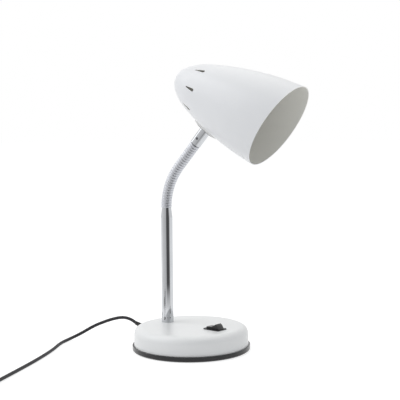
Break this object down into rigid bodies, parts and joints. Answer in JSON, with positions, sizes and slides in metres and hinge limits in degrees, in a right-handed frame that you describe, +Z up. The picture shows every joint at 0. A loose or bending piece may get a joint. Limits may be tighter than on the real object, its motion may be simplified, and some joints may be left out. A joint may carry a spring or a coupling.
{
  "type": "gooseneck desk lamp",
  "caption": "Desk lamp with a round weighted base, a rocker switch, an upright stem, a ribbed flexible neck and a tapered round shade with vent slots.",
  "frame": {"origin": "centre of the round base on the surface that the lamp stands on", "axes": "+Z up, +X from the stem towards the rocker switch, +Y to the side that the neck leans towards"},
  "size_m": [0.2732, 0.3658, 0.3123],
  "materials": {
    "white_enamel": "powder coat, slight sheen",
    "black_plastic": "moulded, fine grain",
    "eva_pad": "foam sheet",
    "cast_iron": "rough cast",
    "zinc_steel": "zinc plated",
    "chrome_plate": "polished",
    "satin_nickel": "satin",
    "clamp_grey": "satin grey",
    "white_plastic": "moulded",
    "brass": "plain",
    "pin_nickel": "nickel plated",
    "black_flex": "soft PVC"
  },
  "bodies": {
    "base": {"base_tray": "black_plastic", "base_pad": "eva_pad", "base_weight": "cast_iron", "tray_screws": "zinc_steel", "weight_screws": "zinc_steel", "cover_lugs": "zinc_steel", "base_cover": "white_enamel", "stem_tube": "chrome_plate", "stem_bush": "zinc_steel", "base_nipple": "zinc_steel", "base_washer": "zinc_steel", "base_locknut": "zinc_steel", "switch_housing": "black_plastic", "switch_terminals": "brass", "switch_leads": "black_flex", "cord_inside": "black_flex", "cord_boot": "black_flex", "cord_clamp": "black_plastic", "clamp_screws": "zinc_steel", "terminal_block": "white_plastic", "terminal_screws": "brass", "cord_free": "black_flex", "cord_coil": "black_flex", "cord_tie": "black_flex", "cord_tail": "black_flex", "plug_body": "black_flex", "plug_pins": "pin_nickel"},
    "link_1": {"neck_link_1": "satin_nickel"},
    "link_2": {"neck_link_2": "satin_nickel"},
    "link_3": {"neck_link_3": "satin_nickel"},
    "link_4": {"neck_link_4": "satin_nickel"},
    "link_5": {"neck_link_5": "satin_nickel"},
    "link_6": {"neck_link_6": "satin_nickel"},
    "link_7": {"neck_link_7": "satin_nickel"},
    "link_8": {"neck_link_8": "satin_nickel"},
    "link_9": {"neck_link_9": "satin_nickel"},
    "head": {"neck_ferrule": "chrome_plate", "ferrule_screw": "zinc_steel", "clamp_plate": "clamp_grey", "saddle_pad": "white_plastic", "head_nipple": "zinc_steel", "head_nut": "zinc_steel", "holder_bracket": "zinc_steel", "lampholder_body": "black_plastic", "screw_shell": "brass", "centre_contact": "brass", "holder_nut": "zinc_steel", "lampholder_ring": "black_plastic", "shade": "white_enamel"},
    "rocker": {"switch_rocker": "black_plastic"}
  },
  "joints": [
    {"name": "neck_bend", "type": "hinge", "parent": "base", "child": "link_1", "pos_m": [-0.0345, 0, 0.14999], "axis": [-0.2079, 0.9781, 0], "range_deg": [-22, 10]},
    {"name": "neck_sway", "type": "hinge", "parent": "link_1", "child": "link_2", "pos_m": [-0.0345, 0, 0.15905], "axis": [0.9766, 0.2076, -0.0569], "range_deg": [-12, 12]},
    {"name": "neck_bend_2", "type": "hinge", "parent": "link_2", "child": "link_3", "pos_m": [-0.03349, 0.00021, 0.16805], "axis": [-0.2079, 0.9781, 0], "range_deg": [-22, 10]},
    {"name": "neck_sway_2", "type": "hinge", "parent": "link_3", "child": "link_4", "pos_m": [-0.03139, 0.00066, 0.17684], "axis": [0.9336, 0.1984, -0.2985], "range_deg": [-12, 12]},
    {"name": "neck_bend_3", "type": "hinge", "parent": "link_4", "child": "link_5", "pos_m": [-0.02822, 0.00134, 0.1853], "axis": [-0.2079, 0.9781, 0], "range_deg": [-22, 10]},
    {"name": "neck_sway_3", "type": "hinge", "parent": "link_5", "child": "link_6", "pos_m": [-0.02403, 0.00223, 0.19328], "axis": [0.8312, 0.1767, -0.5272], "range_deg": [-12, 12]},
    {"name": "neck_bend_4", "type": "hinge", "parent": "link_6", "child": "link_7", "pos_m": [-0.01889, 0.00332, 0.20066], "axis": [-0.2079, 0.9781, 0], "range_deg": [-22, 10]},
    {"name": "neck_sway_4", "type": "hinge", "parent": "link_7", "child": "link_8", "pos_m": [-0.0132, 0.00453, 0.2076], "axis": [0.7493, 0.1593, -0.6428], "range_deg": [-12, 12]},
    {"name": "neck_bend_5", "type": "hinge", "parent": "link_8", "child": "link_9", "pos_m": [-0.00751, 0.00574, 0.21453], "axis": [-0.2079, 0.9781, 0], "range_deg": [-22, 10]},
    {"name": "neck_sway_5", "type": "hinge", "parent": "link_9", "child": "head", "pos_m": [-0.00181, 0.00695, 0.22147], "axis": [0.7493, 0.1593, -0.6428], "range_deg": [-12, 12]},
    {"name": "switch_rock", "type": "hinge", "parent": "base", "child": "rocker", "pos_m": [0.0335, 0, 0.0252], "axis": [0, 1, 0], "range_deg": [0, 32]}
  ],
  "couplings": [
    {"joint": "neck_bend_2", "follows": "neck_bend", "ratio": 1},
    {"joint": "neck_sway_2", "follows": "neck_sway", "ratio": 1},
    {"joint": "neck_bend_3", "follows": "neck_bend", "ratio": 1},
    {"joint": "neck_sway_3", "follows": "neck_sway", "ratio": 1},
    {"joint": "neck_bend_4", "follows": "neck_bend", "ratio": 1},
    {"joint": "neck_sway_4", "follows": "neck_sway", "ratio": 1},
    {"joint": "neck_bend_5", "follows": "neck_bend", "ratio": 1},
    {"joint": "neck_sway_5", "follows": "neck_sway", "ratio": 1}
  ]
}
